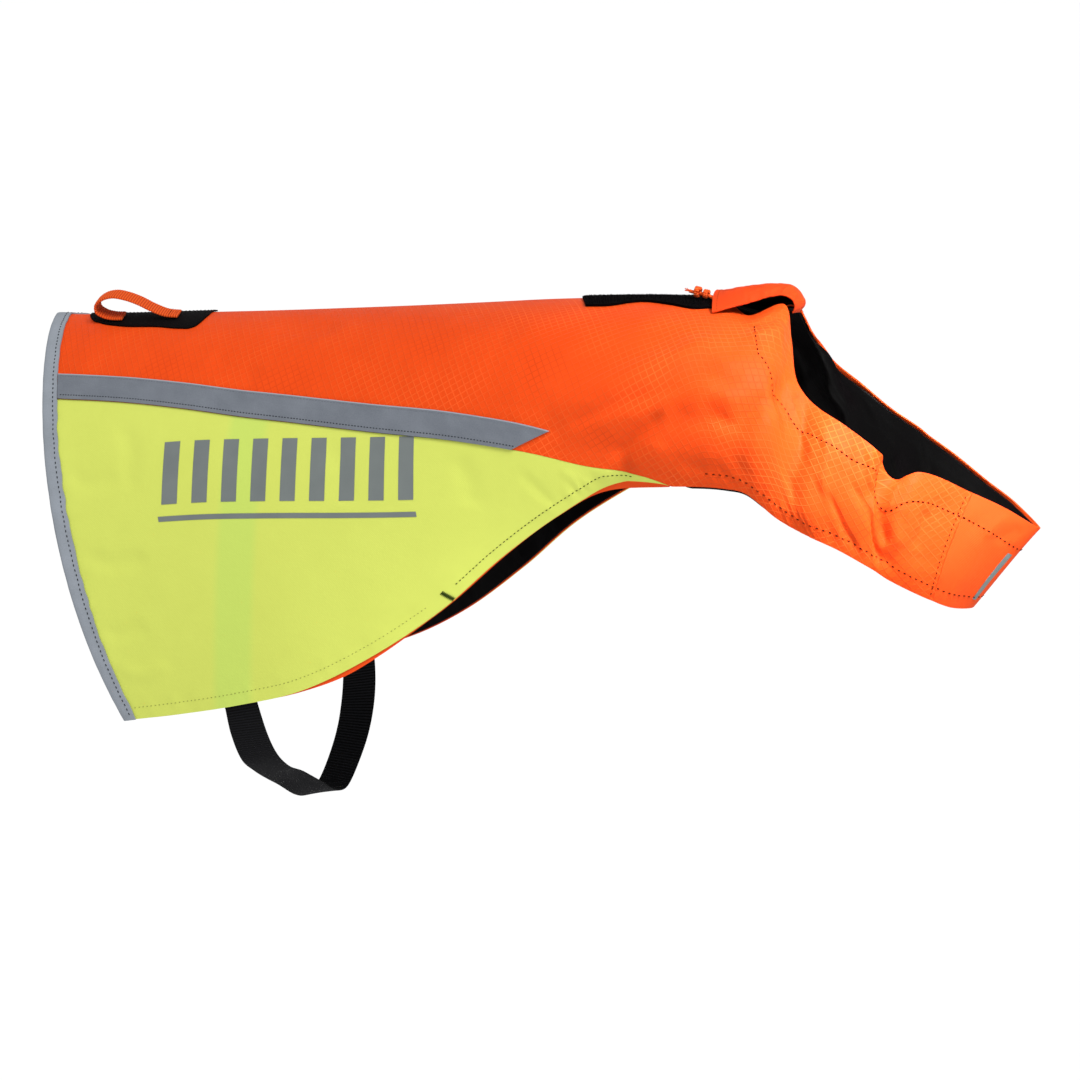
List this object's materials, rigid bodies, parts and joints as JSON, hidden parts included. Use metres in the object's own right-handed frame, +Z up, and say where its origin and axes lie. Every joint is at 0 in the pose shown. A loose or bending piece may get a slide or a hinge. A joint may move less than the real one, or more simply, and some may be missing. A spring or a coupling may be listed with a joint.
{
  "type": "reflective dog coat",
  "caption": "Dog coat in one long arch, filled out as worn: contrasting side flaps, taped seams, neck slit under a folded tab, back handle and a belly strap.",
  "frame": {"origin": "inner face of the lining at the crest, above the wearer's shoulders, where the coat lies on the back", "axes": "+X runs along the back to the neck opening, +Y to the coat's left side, +Z up"},
  "size_m": [0.7024, 0.2054, 0.3829],
  "materials": {
    "orange_ripstop": "fluorescent orange ripstop, satin",
    "orange_plain_weave": "fluorescent orange plain weave, satin",
    "yellow_fluorescent_cloth": "fluorescent yellow plain weave, matt",
    "silver_reflective_tape": "retroreflective tape, grey in plain light",
    "black_coated_lining": "smooth coated lining, semi gloss",
    "black_webbing": "ribbed polyester webbing, matt",
    "black_loop_pile": "loop fastener pile, matt",
    "orange_webbing": "woven orange webbing and cord, matt"
  },
  "bodies": {
    "root": {"back_panel": "orange_ripstop", "chest_panel": "orange_plain_weave", "flank_right": "yellow_fluorescent_cloth", "flank_left": "yellow_fluorescent_cloth", "lining_back": "black_coated_lining", "lining_flank_right": "black_coated_lining", "lining_flank_left": "black_coated_lining", "facing_right": "orange_plain_weave", "facing_left": "orange_plain_weave", "tape_right": "silver_reflective_tape", "tape_left": "silver_reflective_tape", "rear_binding": "silver_reflective_tape", "handle_patch": "black_webbing", "handle_loop": "orange_webbing", "loop_strip": "black_loop_pile", "neck_tab": "orange_plain_weave", "drawcord_end": "orange_webbing", "belly_strap": "black_webbing"}
  },
  "joints": []
}
